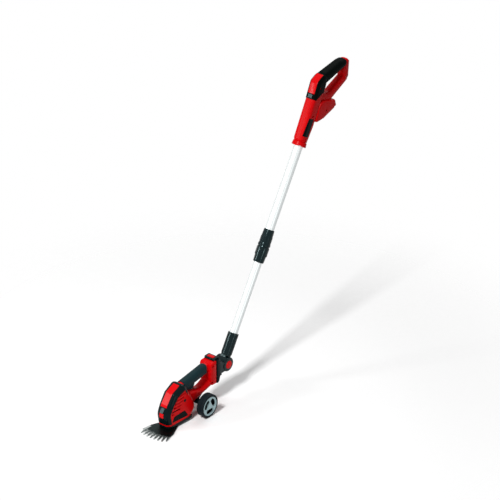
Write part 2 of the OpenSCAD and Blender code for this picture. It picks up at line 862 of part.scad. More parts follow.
module adapter() color(black) one_skin() difference() {
    moulding(adapter_outline, shoe_w, 5);
    latch_block(slack, latch_low, far);
    for (x = [hood_w / 2, -hood_w / 2 - far])
        block([x, 0, shoe_top + seat], [x + far, far, far]);
}

module adapter_latch() color(red) one_skin() moulding([
    [latch_y[0], latch_low + latch_travel + slack, 1],
    [latch_y[1], latch_low + latch_travel + slack, 1],
    [latch_y[1], hood_top + 1, 1.6],
    [latch_y[0], hood_top + 2, 1.6]
], latch_w, 1.8, steps = 2);

cheek_in = lug_w / 2 + 0.3;
cheek_out = barrel_w / 2;
button_r = button_d / 2;
button_in = cheek_out - 8.5;
tilt_at = [tilt_y, tilt_z];

// Cheek with a rounded rim, seen as a turned section
module cheek() translate([0, tilt_y, tilt_z]) rotate([0, 90, 0]) rotate_extrude($fn = 72) polygon([
    [0, cheek_in],
    [barrel_d / 2, cheek_in],
    for (a = [0 : 15 : 90]) [barrel_d / 2 - 4 + 4 * cos(a), cheek_out - 4 + 4 * sin(a)],
    [0, cheek_out]
]);

module fork_web(x0, x1, y1, half_h) side(x0, x1) translate([adapter_back, tilt_z - half_h])
    square([y1 - adapter_back, 2 * half_h]);

module tilt_fork() color(black) difference() {
    union() {
        cheek();
        flipped() cheek();
        fork_web(cheek_in, cheek_out - 3, tilt_y, 17);
        fork_web(3 - cheek_out, -cheek_in, tilt_y, 17);
        fork_web(3 - cheek_out, cheek_out - 3, tilt_y - barrel_d / 2 - 2, 17);
        fork_web(-cheek_out, cheek_out, adapter_back + 4, 20);
    }
    rod_x(4 - cheek_out, far, tilt_pin_d, tilt_at);
    rod_x(button_in - button_travel - 0.5, far, button_d + 2 * slack, tilt_at);
}

stem_d = tilt_pin_d / 2;
pin_end = button_in - button_travel - 0.8;
module tilt_pin() color(steel) difference() {
    rod_x(4 - cheek_out, pin_end, tilt_pin_d - 2 * run, tilt_at);
    rod_x(-6, far, stem_d + 2 * run, tilt_at);
}

module tilt_button() color(red) translate([0, tilt_y, tilt_z]) rotate([0, 90, 0]) {
    rotate_extrude() polygon([
        [0, button_in],
        [button_r, button_in],
        for (a = [0 : 15 : 90]) [button_r - 4 + 4 * cos(a), cheek_out - 0.5 + 3 * sin(a)],
        [0, cheek_out + 3]
    ]);
    translate([0, 0, pin_end - 8]) cylinder(d = stem_d, h = button_in - pin_end + 9);
}

// Spring between the pin's end and the button, wound by a formula
spring_turns = 2.5;
spring_wire = 0.7;
spring_r = tilt_pin_d / 2 - 1.2;
spring_points = 8;
module tilt_spring() color(steel) {
    low = pin_end + spring_wire / 2 + 0.1;
    high = button_in - spring_wire / 2 - 0.1;
    steps = spring_turns * spring_points;
    skin([for (j = [0 : steps]) let (a = 360 * j / spring_points, x = low + (high - low) * j / steps)
        [for (k = [0 : 4]) let (b = 72 * k, r = spring_r + spring_wire / 2 * cos(b))
            [x + spring_wire / 2 * sin(b), tilt_y + r * cos(a), tilt_z + r * sin(a)]]]);
}

socket_s = barrel_d / 2 + 1.5;
socket_end = socket_s + socket_l;
tube_seat = socket_s + 11;
rib_count = 12;
module pole_socket() color(black) on_pole() difference() {
    union() {
        rod_x(-lug_w / 2, lug_w / 2, barrel_d - 1, [0, 0]);
        block([-lug_w / 2, -socket_d / 2 + 2, 4], [lug_w / 2, socket_d / 2 - 2, socket_s + 1]);
        translate([0, 0, socket_s]) cylinder(d = socket_d, h = socket_l);
        translate([0, 0, socket_end - 4]) cylinder(d = socket_d + 2, h = 4);
        for (i = [0 : rib_count - 1]) rotate([0, 0, 360 / rib_count * i])
            block([socket_d / 2 - 1, -1.3, socket_s + 4], [socket_d / 2 + 0.9, 1.3, socket_end - 1]);
    }
    translate([0, 0, tube_seat]) cylinder(d = lower_d + 2 * run, h = far);
    rod_x(-far, far, tilt_pin_d + 2 * run, [0, 0]);
}

// Pole

upper_bore = upper_d - 2 * tube_t;
lock_mid = lock_s + lock_l / 2;
lower_top = lock_mid + tube_lap + 6;
upper_low = lock_mid + 8;
upper_top = handle_s + 66;
nut_low_r = lower_d / 2 + 4.5;
nut_top_r = lock_d / 2 - 1.2;

module lower_tube() color(alloy) on_pole() tube(lower_d, lower_d - 2 * tube_t, tube_seat, lower_top);

module tube_bush() color(black) on_pole() difference() {
    union() {
        translate([0, 0, lower_top]) cylinder(d = upper_bore - 2 * run, h = 8);
        translate([0, 0, lower_top - 12]) cylinder(d = lower_d - 2 * tube_t - 2 * run, h = 13);
    }
    translate([0, 0, lower_top - 13]) cylinder(d = lower_d - 8, h = far);
}

module upper_tube() color(alloy) on_pole() tube(upper_d, upper_bore, upper_low, upper_top);

// Raised pads in two rows round the twist lock
module lock_pads(s0, s1, r, count) for (i = [0 : count - 1]) rotate([0, 0, 360 / count * (i + 0.5)])
    block([r - 3, -2.4, s0], [r + 0.8, 2.4, s1]);

module lock_nut() color(black) on_pole() difference() {
    union() {
        rotate_extrude($fn = 72) polygon([
            [0, lock_s],
            [nut_low_r - 1.5, lock_s],
            [nut_low_r, lock_s + 2],
            [nut_top_r, lock_mid - 16],
            [nut_top_r, lock_mid - 6],
            [nut_top_r - 0.8, lock_mid - 0.4],
            [0, lock_mid - 0.4]
        ]);
        lock_pads(lock_s + 22, lock_mid - 4, nut_top_r, 8);
    }
    translate([0, 0, lock_s - 1]) cylinder(d = lower_d + 1, h = far);
    translate([0, 0, lock_s + 6]) cylinder(d = lower_d + 6, h = far);
}

module lock_collet() color("#5b5f63") on_pole() difference() {
    translate([0, 0, lock_s + 10]) cylinder(d = lower_d + 4.6, h = lock_mid - lock_s - 10);
    translate([0, 0, lock_s]) cylinder(d = lower_d + 2 * run, h = far);
    for (i = [0 : 2]) rotate([0, 0, 60 * i]) block([-20, -0.8, lock_s], [20, 0.8, lock_mid - 10]);
}

module lock_body() color(black) on_pole() difference() {
    union() {
        rotate_extrude($fn = 72) polygon([
            [0, lock_mid],
            [lock_d / 2 - 0.8, lock_mid],
            [lock_d / 2, lock_mid + 0.8],
            [lock_d / 2, lock_mid + 6],
            [lock_d / 2 - 1.2, lock_mid + 8],
            [upper_d / 2 + 3.4, lock_mid + 34],
            [upper_d / 2 + 2.4, lock_mid + 51],
            [upper_d / 2 + 1.4, lock_mid + lock_l / 2],
            [0, lock_mid + lock_l / 2]
        ]);
        lock_pads(lock_mid + 10, lock_mid + 30, lock_d / 2 - 2.2, 8);
    }
    translate([0, 0, lock_mid - 1]) cylinder(d = lower_d + 1, h = far);
    translate([0, 0, upper_low]) cylinder(d = upper_d, h = far);
}

// Upper handle, in the pole's frame: [back, along the pole]

h0 = handle_s;
collar_l = 15;
neck_edge = 11;
neck = [
    [-20, h0 + collar_l + 1, 3],
    [17, h0 + collar_l + 1, 3],
    [21, h0 + 68, 40],
    [11, h0 + 205, 18],
    [3, h0 + 231, 10],
    [-15, h0 + 231, 18],
    [-34, h0 + 203, 20],
    [-28, h0 + 150, 60]
];
hand_edge = 11;
hand_core = [
    [7, h0 + 203, 6],
    [84, h0 + 279, 8],
    [75, h0 + 296, 8],
    [53, h0 + 284, 30],
    [-13, h0 + 230, 8]
];
loop_edge = 9;
rear_bar = [
    [72, h0 + 262, 8],
    [96, h0 + 236, 10],
    [121, h0 + 243, 8],
    [94, h0 + 297, 8],
    [78, h0 + 302, 8]
];
low_bar = [
    [4, h0 + 146, 6],
    [64, h0 + 158, 8],
    [121, h0 + 243, 8],
    [98, h0 + 254, 6],
    [44, h0 + 181, 30],
    [6, h0 + 174, 12]
];
foot_edge = 6;
foot = [
    [16, h0 + 78, 8],
    [46, h0 + 97, 16],
    [97, h0 + 153, 4],
    [80, h0 + 169, 5],
    [42, h0 + 158, 30],
    [6, h0 + 150, 20]
];

band_s = [h0 + 147, h0 + 164];
hand_trigger_hinge = [0, h0 + 219];
hand_trigger_outline = [
    [-10, h0 + 172, 4],
    [4, h0 + 168, 5],
    [11, h0 + 178, 6],
    [17, h0 + 203, 6],
    [8, h0 + 224, 4],
    [-8, h0 + 224, 4]
];
handle_screw_at = [[-4, h0 + 98], [-17, h0 + 186], [106, h0 + 248], [52, h0 + 128]];
handle_screw_half = [neck_w / 2, neck_w / 2, loop_w / 2, foot_w / 2];
handle_screw_l = 22;
slider_w = 15;
hand_t = 1.4;
pad_half = 12.5;
port_w = 25;

module handle_half_solid(grow = 0, from = 0) {
    half_moulding(neck, neck_w, neck_edge, grow, from);
    half_moulding(hand_core, hand_w - 2 * soft_t, hand_edge, grow, from, 2);
    half_moulding(rear_bar, loop_w, loop_edge, grow, from, 2);
    half_moulding(low_bar, loop_w, loop_edge, grow, from, 2);
    half_moulding(foot, foot_w, foot_edge, grow, from, 2);
}

// Room inside one half for the switch, the trigger and the contacts
module handle_half_room() {
    half_moulding(neck, neck_w, neck_edge, -wall, -1, 1);
    half_moulding(hand_core, hand_w - 2 * soft_t, hand_edge, -wall, -1, 1);
    half_moulding(foot, foot_w, foot_edge, -wall, -1, 1);
}

// Flared rim round the tube, scalloped at its lower edge
module rim_form() difference() {
    rotate_extrude($fn = 36) polygon([
        [0, h0],
        [rim_d / 2, h0],
        [rim_d / 2 - 1.2, h0 + collar_l - 2],
        [rim_d / 2 - 3.6, h0 + collar_l],
        [rim_d / 2 - 1.8, h0 + collar_l + 2.5],
        [neck_w / 2, h0 + 2 * collar_l],
        [0, h0 + 2 * collar_l]
    ]);
    for (i = [0 : 3]) rotate([0, 0, 45 + 90 * i]) translate([0, 0, h0 - 9])
        rotate([0, 90, 0]) cylinder(r = 12, h = far, $fn = 20);
}

module hand_trigger_slot(gap) side(-trigger_w / 2 - gap, trigger_w / 2 + gap)
    polygon([[-19, h0 + 164], [30, h0 + 164], [30, h0 + 208], [10, h0 + 229], [-19, h0 + 229]]);

module handle_half(left) one_skin() difference() {
    union() {
        difference() {
            handle_half_solid();
            difference() {
                handle_half_room();
                pivot_boss(hand_trigger_hinge, neck_w / 2);
                block([-1, -60, h0 - 10], [far, 30, upper_top + 4]);
                for (i = [0 : len(handle_screw_at) - 1])
                    screw_boss(handle_screw_at[i], handle_screw_half[i]);
            }
        }
        intersection() {
            rim_form();
            block([0, -far, 0], [far, far, far]);
        }
        intersection() {
            half_moulding(neck, neck_w, neck_edge, 0.9);
            block([0, -far, h0 + 102], [pad_half - 2, 0, band_s[0] - 3]);
        }
    }
    block([-1, -far, h0 - 20], [far, far, h0]);
    translate([0, 0, h0 - 40]) cylinder(d = upper_d + 4 * seat, h = upper_top - h0 + 40.2, $fn = 36);
    hand_trigger_slot(slack);
    pivot_bore(hand_trigger_hinge);
    slider_slot(slack);
    port_block(seat);
    for (i = [0 : len(handle_screw_at) - 1]) {
        rod_x(-1, left ? far : handle_screw_l / 2, screw_d + 2 * seat, handle_screw_at[i], $fn = 10);
        if (left)
            rod_x(handle_screw_l / 2 - screw_seat, far, screw_head_d + slack, handle_screw_at[i], $fn = 16);
    }
}

module handle_left_shell() color(red) on_pole() handle_half(true);
module handle_right_shell() color(red) on_pole() flipped() handle_half(false);

// Side zone of the soft skin on the front bar: its lower edge climbs from the band to the trigger
module hand_skin_zone() polygon([
    [-far, band_s[0]],
    [-20, band_s[0]],
    [4, band_s[0] + 30],
    [far, band_s[0] + 30],
    [far, far],
    [-far, far]
]);

// Soft skin: all round the grip, and down both sides of the front bar to the dark band
module hand_skin_half() one_skin() difference() {
    union() {
        half_moulding(hand_core, hand_w - 2 * soft_t, hand_edge, soft_t);
        intersection() {
            half_moulding(neck, neck_w, neck_edge, hand_t);
            side(0, far) hand_skin_zone();
        }
    }
    handle_half_solid(seat, -1);
    block([-1, -far, band_s[1]], [pad_half + seat, -8, h0 + 228]);
    hand_trigger_slot(slack);
    slider_slot(slack);
    for (i = [0 : len(handle_screw_at) - 1])
        rod_x(handle_screw_l / 2 - screw_seat, far, screw_head_d + slack, handle_screw_at[i], $fn = 16);
}
module handle_left_grip() color(soft_black) on_pole() hand_skin_half();
module handle_right_grip() color(soft_black) on_pole() flipped() hand_skin_half();

module handle_panel() color(red) on_pole() one_skin() intersection() {
    difference() {
        moulding(neck, neck_w, neck_edge, hand_t + 0.4);
        moulding(neck, neck_w, neck_edge, seat);
    }
    block([-pad_half, -far, band_s[1] + seat], [pad_half, -8, h0 + 228 - seat]);
}

module slider_slot(gap) block(
    [-slider_w / 2 - gap, -far, band_s[0] + 3 - gap],
    [slider_w / 2 + gap, -16, band_s[1] - 3 + gap]
);

module handle_lock_off() color("#4a4e52") on_pole() one_skin() intersection() {
    block([-slider_w / 2, -far, band_s[0] + 3], [slider_w / 2, -20, band_s[1] - 3]);
    moulding(neck, neck_w, neck_edge, hand_t + 1.6);
}

module handle_trigger() color(soft_black) on_pole() {
    one_skin() moulding(hand_trigger_outline, trigger_w, 3, steps = 2);
    rod_x(-pivot_l / 2, pivot_l / 2, pivot_d, hand_trigger_hinge);
}

module handle_switch() color("#3a3d40") on_pole() {
    ear = neck_w / 2 - wall - 4;
    block([-6, -27, h0 + 174], [6, -22, h0 + 198]);
    block([-ear, -24, h0 + 178], [ear, -22, h0 + 190]);
}

hand_badge_s = [h0 + 32, h0 + 90];
hand_badge_p = [-19, 4];
module handle_badge_plate() color(black) on_pole() one_skin() intersection() {
    difference() {
        half_moulding(neck, neck_w, neck_edge, badge_t / 2);
        half_moulding(neck, neck_w, neck_edge, seat, -1);
    }
    block([8, hand_badge_p[0], hand_badge_s[0]], [far, hand_badge_p[1], hand_badge_s[1]]);
}

// Battery port under the foot: its floor runs from the foot's front corner to its tip
port_a = [foot[1][0], foot[1][1]];
port_b = [foot[2][0], foot[2][1]];
port_dir = unit(port_b - port_a);
port_tilt = atan2(port_dir[1], port_dir[0]);
port_l = norm(port_b - port_a);
module on_port() translate([0, port_a[0], port_a[1]]) rotate([port_tilt, 0, 0]) children();

port_y = [12, 46];
port_deep = 10;
module port_block(gap) on_port()
    block([-port_w / 2 - gap, port_y[0] - gap, -far], [port_w / 2 + gap, port_y[1] + gap, port_deep + gap]);

module battery_contacts() color(black) on_pole() on_port() difference() {
    block([-port_w / 2, port_y[0], -2], [port_w / 2, port_y[1], port_deep]);
    for (x = [-10, 0, 10]) block([x - 1, port_y[0] + 6, -4], [x + 1, port_y[1] + 4, port_deep / 2]);
}

rail_half = foot_w / 2 - 4;
module battery_rails() color(red) on_pole() on_port() for (x = [-rail_half, rail_half - 4])
    side(x, x + 4) polygon([[8, -3], [port_l - 10, -3], [port_l - 10, -seat], [8, -seat]]);

module handle_screws() color(steel) on_pole() for (at = handle_screw_at) screw(handle_screw_l, at);

left_shell();
right_shell();
nose_cover();
nose_panel();
release_trim();
release_button();
left_soft_grip();
right_soft_grip();
badge_plate();
head_trigger();
head_switch();
lock_off_button();
housing_screws();
motor();
motor_plate();
motor_pinion();
drive_gear();
gear_axle();
sole();
comb_blade();
moving_blade();
blade_pivot();
blade_screws();
head_contacts();
wheel_bracket();
axle();
axle_clips();
left_wheel();
right_wheel();
left_hub_cap();
right_hub_cap();
adapter();
adapter_latch();
tilt_fork();
tilt_pin();
tilt_button();
tilt_spring();
pole_socket();
lower_tube();
tube_bush();
lock_nut();
lock_collet();
lock_body();
upper_tube();
handle_left_shell();
handle_right_shell();
handle_left_grip();
handle_right_grip();
handle_panel();
handle_lock_off();
handle_trigger();
handle_switch();
handle_badge_plate();
battery_rails();
battery_contacts();
handle_screws();
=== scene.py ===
# %% [markdown]
# # Cordless grass shears on a telescopic pole
# This lesson dresses a finished construction model: a red and black shear head on two wheels, a tilting
# joint, an aluminium pole with a twist lock, and a D-shaped handle with a bare battery port.
# The construction model gives every shape and every joint. Blender adds what a camera sees: soft edges,
# the grain of moulded plastic, brushed metal, screw recesses and light.

# %% Load the frame
import json
import math

import bpy
from mathutils import Matrix, Vector

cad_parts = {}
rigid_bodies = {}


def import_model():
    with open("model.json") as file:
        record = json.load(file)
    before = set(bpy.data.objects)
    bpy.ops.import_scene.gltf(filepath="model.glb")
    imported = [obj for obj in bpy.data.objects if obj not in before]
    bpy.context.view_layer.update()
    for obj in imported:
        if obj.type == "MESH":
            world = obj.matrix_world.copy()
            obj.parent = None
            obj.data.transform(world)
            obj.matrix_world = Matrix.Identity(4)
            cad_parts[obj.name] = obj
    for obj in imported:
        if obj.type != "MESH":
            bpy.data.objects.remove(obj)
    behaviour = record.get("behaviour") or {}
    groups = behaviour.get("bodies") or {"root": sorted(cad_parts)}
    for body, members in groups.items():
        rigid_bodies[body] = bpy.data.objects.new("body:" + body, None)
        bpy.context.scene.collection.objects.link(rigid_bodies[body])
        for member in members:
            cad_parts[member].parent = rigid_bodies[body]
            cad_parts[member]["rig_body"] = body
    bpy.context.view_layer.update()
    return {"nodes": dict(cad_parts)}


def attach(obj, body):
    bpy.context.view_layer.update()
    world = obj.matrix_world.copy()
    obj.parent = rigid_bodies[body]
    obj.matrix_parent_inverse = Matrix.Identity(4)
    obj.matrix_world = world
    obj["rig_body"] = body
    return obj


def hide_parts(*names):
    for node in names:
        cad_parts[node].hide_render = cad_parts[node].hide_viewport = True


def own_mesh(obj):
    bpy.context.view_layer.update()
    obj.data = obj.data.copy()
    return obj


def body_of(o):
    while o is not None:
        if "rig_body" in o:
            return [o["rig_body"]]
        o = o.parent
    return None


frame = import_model()
nodes = frame["nodes"]
bpy.ops.object.select_all(action="DESELECT")

# %% [markdown]
# ## Camera
# A catalogue picture is taken from far away with a long lens, so that upright edges stay upright. Two angles
# give the viewing direction: 39 degrees round from the front towards the tool's left, and 29.5 degrees up.
# The scale, in pixels per metre, then fixes how far away a given lens has to stand.

# %% Set up the camera
VIEW_TURN = 39
VIEW_RISE = 29.5
VIEW_AIM = Vector((-0.040, 0.386, 0.404))
PIXELS = 500
PIXELS_PER_METRE = 327
LENS = 280
SENSOR = 36


def direction(turn, rise):
    """A unit vector, in degrees round from the front towards the tool's left and degrees up."""
    turn, rise = math.radians(turn), math.radians(rise)
    return Vector((math.sin(turn) * math.cos(rise), -math.cos(turn) * math.cos(rise), math.sin(rise)))


towards_camera = direction(VIEW_TURN, VIEW_RISE)
distance = LENS / SENSOR * PIXELS / PIXELS_PER_METRE

bpy.ops.object.camera_add(location=VIEW_AIM + towards_camera * distance)
camera = bpy.context.object
camera.name = "photo_camera"
camera.rotation_mode = "QUATERNION"
camera.rotation_quaternion = (-towards_camera).to_track_quat("-Z", "Y")
camera.data.lens = LENS
camera.data.sensor_width = SENSOR
camera.data.clip_start = 0.5
camera.data.clip_end = 80
bpy.context.scene.camera = camera
print("camera stands", round(distance, 2), "m away")

# %% [markdown]
# ## Lamps
# Product pictures use soft lamps, because bare bulbs leave hard shadows and pin-point highlights. The main
# panel stands near the front, so that the nose and the front of the handle are bright and the flank falls
# off a little. Two small panels, low on the left and in front on the right, stand where the leaning pole
# mirrors them into the lens: they draw a streak down the lock and the socket and along the rounded black
# edges. One behind parts the dark shapes from each other.

# %% Place the lamps
LAMP_AIM = Vector((0, 0.3, 0.35))
LAMPS = [  # name, degrees round, degrees up, metres away, metres wide, watts
    ("key_panel", 6, 46, 3.6, 0.6, 112),
    ("side_panel", 72, 6, 3.4, 0.36, 8),
    ("front_strip", -38, 21, 3.4, 0.45, 24),
    ("back_panel", 195, 52, 3.6, 1.6, 44),
]

for name, turn, rise, far_off, size, watts in LAMPS:
    out = direction(turn, rise)
    bpy.ops.object.light_add(type="AREA", location=LAMP_AIM + out * far_off)
    lamp = bpy.context.object
    lamp.name = name
    lamp.data.shape = "SQUARE"
    lamp.data.size = size
    lamp.data.energy = watts
    lamp.rotation_euler = (-out).to_track_quat("-Z", "Y").to_euler()

# %% [markdown]
# ## Helpers for nodes
# The world and every finish below are small networks of nodes. Adding a node, filling its sockets and linking
# it takes several lines each time, so two helpers do it: a plain value is written into a socket, and an
# output of another node is linked to it. Two more make the steps that come up most, a sum and a new range.

# %% Node helpers
def fill(tree, node, sockets):
    """Fills a node's sockets from (name or number, value or output) pairs."""
    for key, value in sockets:
        if isinstance(value, bpy.types.NodeSocket):
            tree.links.new(value, node.inputs[key])
        else:
            node.inputs[key].default_value = value


def add_node(tree, kind, sockets=(), **settings):
    """Adds a shader node. Settings are its menus, and they come first because they decide its sockets."""
    made = tree.nodes.new("ShaderNode" + kind)
    for key, value in settings.items():
        setattr(made, key, value)
    fill(tree, made, sockets)
    return made


def maths(tree, operation, *values):
    """One sum, product or other step on values and outputs."""
    return add_node(tree, "Math", enumerate(values), operation=operation).outputs[0]


def vary(tree, value, low, high):
    """Spreads a 0 to 1 value between two others."""
    return add_node(tree, "MapRange", [("Value", value), ("To Min", low), ("To Max", high)]).outputs["Result"]


print("node helpers ready")

# %% [markdown]
# ## World
# The picture's background is plain white. A world that is white for every ray would also fill the shadows, so
# it is white only to the camera and to reflections, and dimmer as a lamp.

# %% White world
WORLD_AS_LAMP = 0.22
WORLD_SEEN = 1.0

world = bpy.data.worlds.new("pale_studio")
bpy.context.scene.world = world
world.use_nodes = True
sky = world.node_tree
ray = add_node(sky, "LightPath").outputs
seen = maths(sky, "MAXIMUM", ray["Is Camera Ray"], ray["Is Transmission Ray"])
seen = maths(sky, "MAXIMUM", seen, ray["Is Glossy Ray"])
fill(sky, sky.nodes["Background"], [
    ("Color", (1, 1, 1, 1)), ("Strength", vary(sky, seen, WORLD_AS_LAMP, WORLD_SEEN))
])
bpy.context.scene.view_settings.view_transform = "Standard"
print("world:", WORLD_SEEN, "when seen,", WORLD_AS_LAMP, "as a lamp")

# %% [markdown]
# ## Floor
# A sheet of pale card carries the shadow. Its edge would show against the white, so it fades out with the
# distance from the middle. The helpers for colours and patterns come here, because this is the first finish.

# %% Helpers for finishes
def linear(hex_colour):
    """A colour as written on a paint card, turned into the light values that Blender works with."""
    parts = [int(hex_colour[i:i + 2], 16) / 255 for i in (1, 3, 5)]
    return tuple(p / 12.92 if p <= 0.04045 else ((p + 0.055) / 1.055) ** 2.4 for p in parts) + (1,)


def shade(colour, factor):
    """The same colour, lighter or darker."""
    return tuple(min(1, c * factor) for c in colour[:3]) + (1,)


def start_material(name):
    """An empty material with its Principled shader, ready for the nodes of one finish."""
    material = bpy.data.materials.new(name)
    material.use_nodes = True
    tree = material.node_tree
    tree.nodes.clear()
    shader = add_node(tree, "BsdfPrincipled")
    add_node(tree, "OutputMaterial", [("Surface", shader.outputs["BSDF"])])
    place = add_node(tree, "TexCoord").outputs["Object"]
    return material, tree, shader, place


def tint(tree, amount, first, second):
    """Mixes two colours by an amount."""
    sockets = [("Factor", amount), ("A", first), ("B", second)]
    return add_node(tree, "Mix", sockets, data_type="RGBA").outputs["Result"]


def noise(tree, place, scale, detail=3, rough=0.55):
    """A cloudy value from 0 to 1, with a scale in clouds per metre."""
    return add_node(tree, "TexNoise", [
        ("Vector", place), ("Scale", scale), ("Detail", detail), ("Roughness", rough)
    ]).outputs["Fac"]


def band(tree, value, low, high):
    """0 below low, 1 above high, and a smooth step between."""
    return add_node(tree, "MapRange", [
        ("Value", value), ("From Min", low), ("From Max", high)
    ], interpolation_type="SMOOTHSTEP").outputs["Result"]


print("finish helpers ready")

# %% [markdown]
# The plane lies a little under the wheels, because two faces in one place would flicker.

# %% Lay the floor
FLOOR_SIZE = 8
FLOOR_PLACE = (0, 0.3, -0.0006)
FADE_FROM, FADE_TO = 0.45, 1.15

bpy.ops.mesh.primitive_plane_add(size=FLOOR_SIZE, location=FLOOR_PLACE)
floor = bpy.context.object
floor.name = "studio_floor"

floor_paint, tree, shader, place = start_material("pale_floor")
away = add_node(tree, "VectorMath", [(0, place)], operation="LENGTH").outputs["Value"]
fill(tree, shader, [
    ("Base Color", tint(tree, noise(tree, place, 3), (0.93, 0.93, 0.93, 1), (0.95, 0.95, 0.95, 1))),
    ("Roughness", 0.9),
    ("Specular IOR Level", 0.1),
    ("Alpha", vary(tree, band(tree, away, FADE_FROM, FADE_TO), 1.0, 0.0)),
])
floor.data.materials.append(floor_paint)
print("floor fades out from", FADE_FROM, "to", FADE_TO, "m")

# %% [markdown]
# ## Moulded plastic
# The housing halves are ABS from a steel mould. Up close the mould's spark-eroded face leaves a fine grain;
# further away the gloss changes a little from place to place. The edges are painted paler, partly as wear
# from handling and partly as a painted highlight along them. So this finish has three scales: grain as bump,
# clouds in the gloss, and a paler edge. A Bevel node finds the edge, because its rounded normal leaves the
# true one there, and the same normal softens the edge's highlight.

# %% Helpers for edges and relief
def soft_edge(tree, radius, samples=4):
    """The normal that the surface would have with its edges rounded to a radius in metres."""
    return add_node(tree, "Bevel", [("Radius", radius)], samples=samples).outputs["Normal"]


def likeness(tree, normal):
    """1 where a normal agrees with the true one, and less towards an edge."""
    true_normal = add_node(tree, "NewGeometry").outputs["Normal"]
    sockets = [(0, normal), (1, true_normal)]
    return add_node(tree, "VectorMath", sockets, operation="DOT_PRODUCT").outputs["Value"]


def relief(tree, height, strength, depth, normal):
    """A normal with fine relief on it, depth in metres."""
    return add_node(tree, "Bump", [
        ("Height", height), ("Strength", strength), ("Distance", depth), ("Normal", normal)
    ]).outputs["Normal"]


print("edge helpers ready")

# %% [markdown]
# Two halves meet in the middle of the tool, so the red housings also get a hairline at x = 0. Colour, gloss,
# grain and the strength of reflections are arguments, since the mouldings differ only in these.

# %% Plastic finish
PLASTIC_EDGE = 0.0007
PORE_DEPTH = 0.00012
PLAIN_GLEAM = (1, 1, 1, 1)
COLD_GLEAM = (0.7, 1.0, 1.02, 1)


def moulded_plastic(name, hex_colour, gloss, grain=0.5, coat=0.0, edge_wear_and_highlight=1.5, shine=0.06, seam=0.0,
                    gleam=PLAIN_GLEAM):
    """Hard moulded plastic. Gloss is the mean roughness, grain the strength of the mould's texture,
    edge_wear_and_highlight how much paler an edge is painted, partly as wear and partly as a painted
    highlight, shine and gleam the strength and colour of reflections, and seam half the width of the parting
    line in metres."""
    material, tree, shader, place = start_material(name)
    colour = linear(hex_colour)
    clouds = noise(tree, place, 16, 2)
    pores = noise(tree, place, 1500, 2, 0.6)
    patchiness = band(tree, noise(tree, place, 90, 4, 0.65), 0.55, 0.75)
    rounded = soft_edge(tree, PLASTIC_EDGE)
    edge = add_node(tree, "MapRange", [
        ("Value", likeness(tree, rounded)), ("From Min", 0.995), ("From Max", 0.86)
    ]).outputs["Result"]
    # Painted highlight and wear: a patchy mask of the edges, where the colour is painted paler.
    worn_and_lit_edge = maths(tree, "MULTIPLY", edge, vary(tree, patchiness, 0.25, 0.8))

    body = tint(tree, clouds, shade(colour, 0.93), shade(colour, 1.07))
    if seam:
        across = add_node(tree, "SeparateXYZ", [("Vector", place)]).outputs["X"]
        beside = band(tree, maths(tree, "ABSOLUTE", across), 0.4 * seam, seam)
        body = tint(tree, beside, shade(colour, 0.25), body)
    # The paler edge colour, standing for wear and for a painted highlight along the edge.
    rubbed_and_highlighted = shade([c + 0.02 for c in colour[:3]], edge_wear_and_highlight)
    dull = vary(tree, patchiness, gloss, gloss + 0.08)
    fill(tree, shader, [
        ("Base Color", tint(tree, worn_and_lit_edge, body, rubbed_and_highlighted)),
        ("Roughness", maths(tree, "ADD", vary(tree, clouds, -0.05, 0.05), dull)),
        ("Normal", relief(tree, pores, grain, PORE_DEPTH, rounded)),
        ("Specular IOR Level", shine),
        ("Specular Tint", gleam),
        ("Coat Weight", coat),
        ("Coat Roughness", 0.2),
    ])
    return material


print("plastic finish ready")

# %% [markdown]
# The red shells are satin, and the red inlays and buttons glossier. Black pieces look colder than they are
# coloured, because most of what they show is reflected light, so they get a cold gleam. The lock, the socket
# and the tilt joint are the most polished. The hub caps are pale grey and the gear is bare nylon.

# %% The plastics
PARTING_LINE = 0.00025

red_shell = moulded_plastic("red_shell_plastic", "#cb0308", 0.32, coat=0.04, shine=0.04, seam=PARTING_LINE)
red_gloss = moulded_plastic("red_gloss_plastic", "#cd050b", 0.24, grain=0.08, coat=0.07, shine=0.05)
# The black pieces get much paler edges, mostly a painted highlight along them with a little wear.
black_shell = moulded_plastic("black_shell_plastic", "#051113", 0.19, grain=0.25, edge_wear_and_highlight=3.0, shine=0.09,
                              gleam=COLD_GLEAM)
black_gloss = moulded_plastic("black_gloss_plastic", "#020506", 0.12, grain=0.1, edge_wear_and_highlight=2.2, shine=0.05,
                              gleam=COLD_GLEAM)
polished_black = moulded_plastic("polished_black_plastic", "#041114", 0.15, grain=0.06, edge_wear_and_highlight=3.0,
                                 shine=0.2, gleam=COLD_GLEAM)
grey_button = moulded_plastic("grey_button_plastic", "#2c383b", 0.3, shine=0.16, gleam=COLD_GLEAM)
pale_grey = moulded_plastic("pale_grey_plastic", "#a3bcc0", 0.33, grain=0.3, edge_wear_and_highlight=1.2)
nylon = moulded_plastic("natural_nylon", "#d8d2c0", 0.5, edge_wear_and_highlight=1.05)
print("plastics:", [m.name for m in bpy.data.materials if "plastic" in m.name], "and", nylon.name)

# %% [markdown]
# ## Soft skin
# The grips are covered in a rubbery elastomer. It is duller than the shell, slightly blue-black, and its
# mould carries rows of tiny round dimples that give the hand some bite. A Voronoi pattern with no randomness
# makes the even rows; its distance from each centre is the depth of the dimple. Head and handle share one
# elastomer, but the head's skin is painted lighter, as painted light, and the upper handle's a deeper black,
# as painted shade. The tyres use the same finish with shallower, wider dimples.

# %% Rubber finish
RUBBER_EDGE = 0.0008
GRIP_PITCH, GRIP_DEPTH = 0.0022, 0.0003
TYRE_PITCH, TYRE_DEPTH = 0.0035, 0.00008


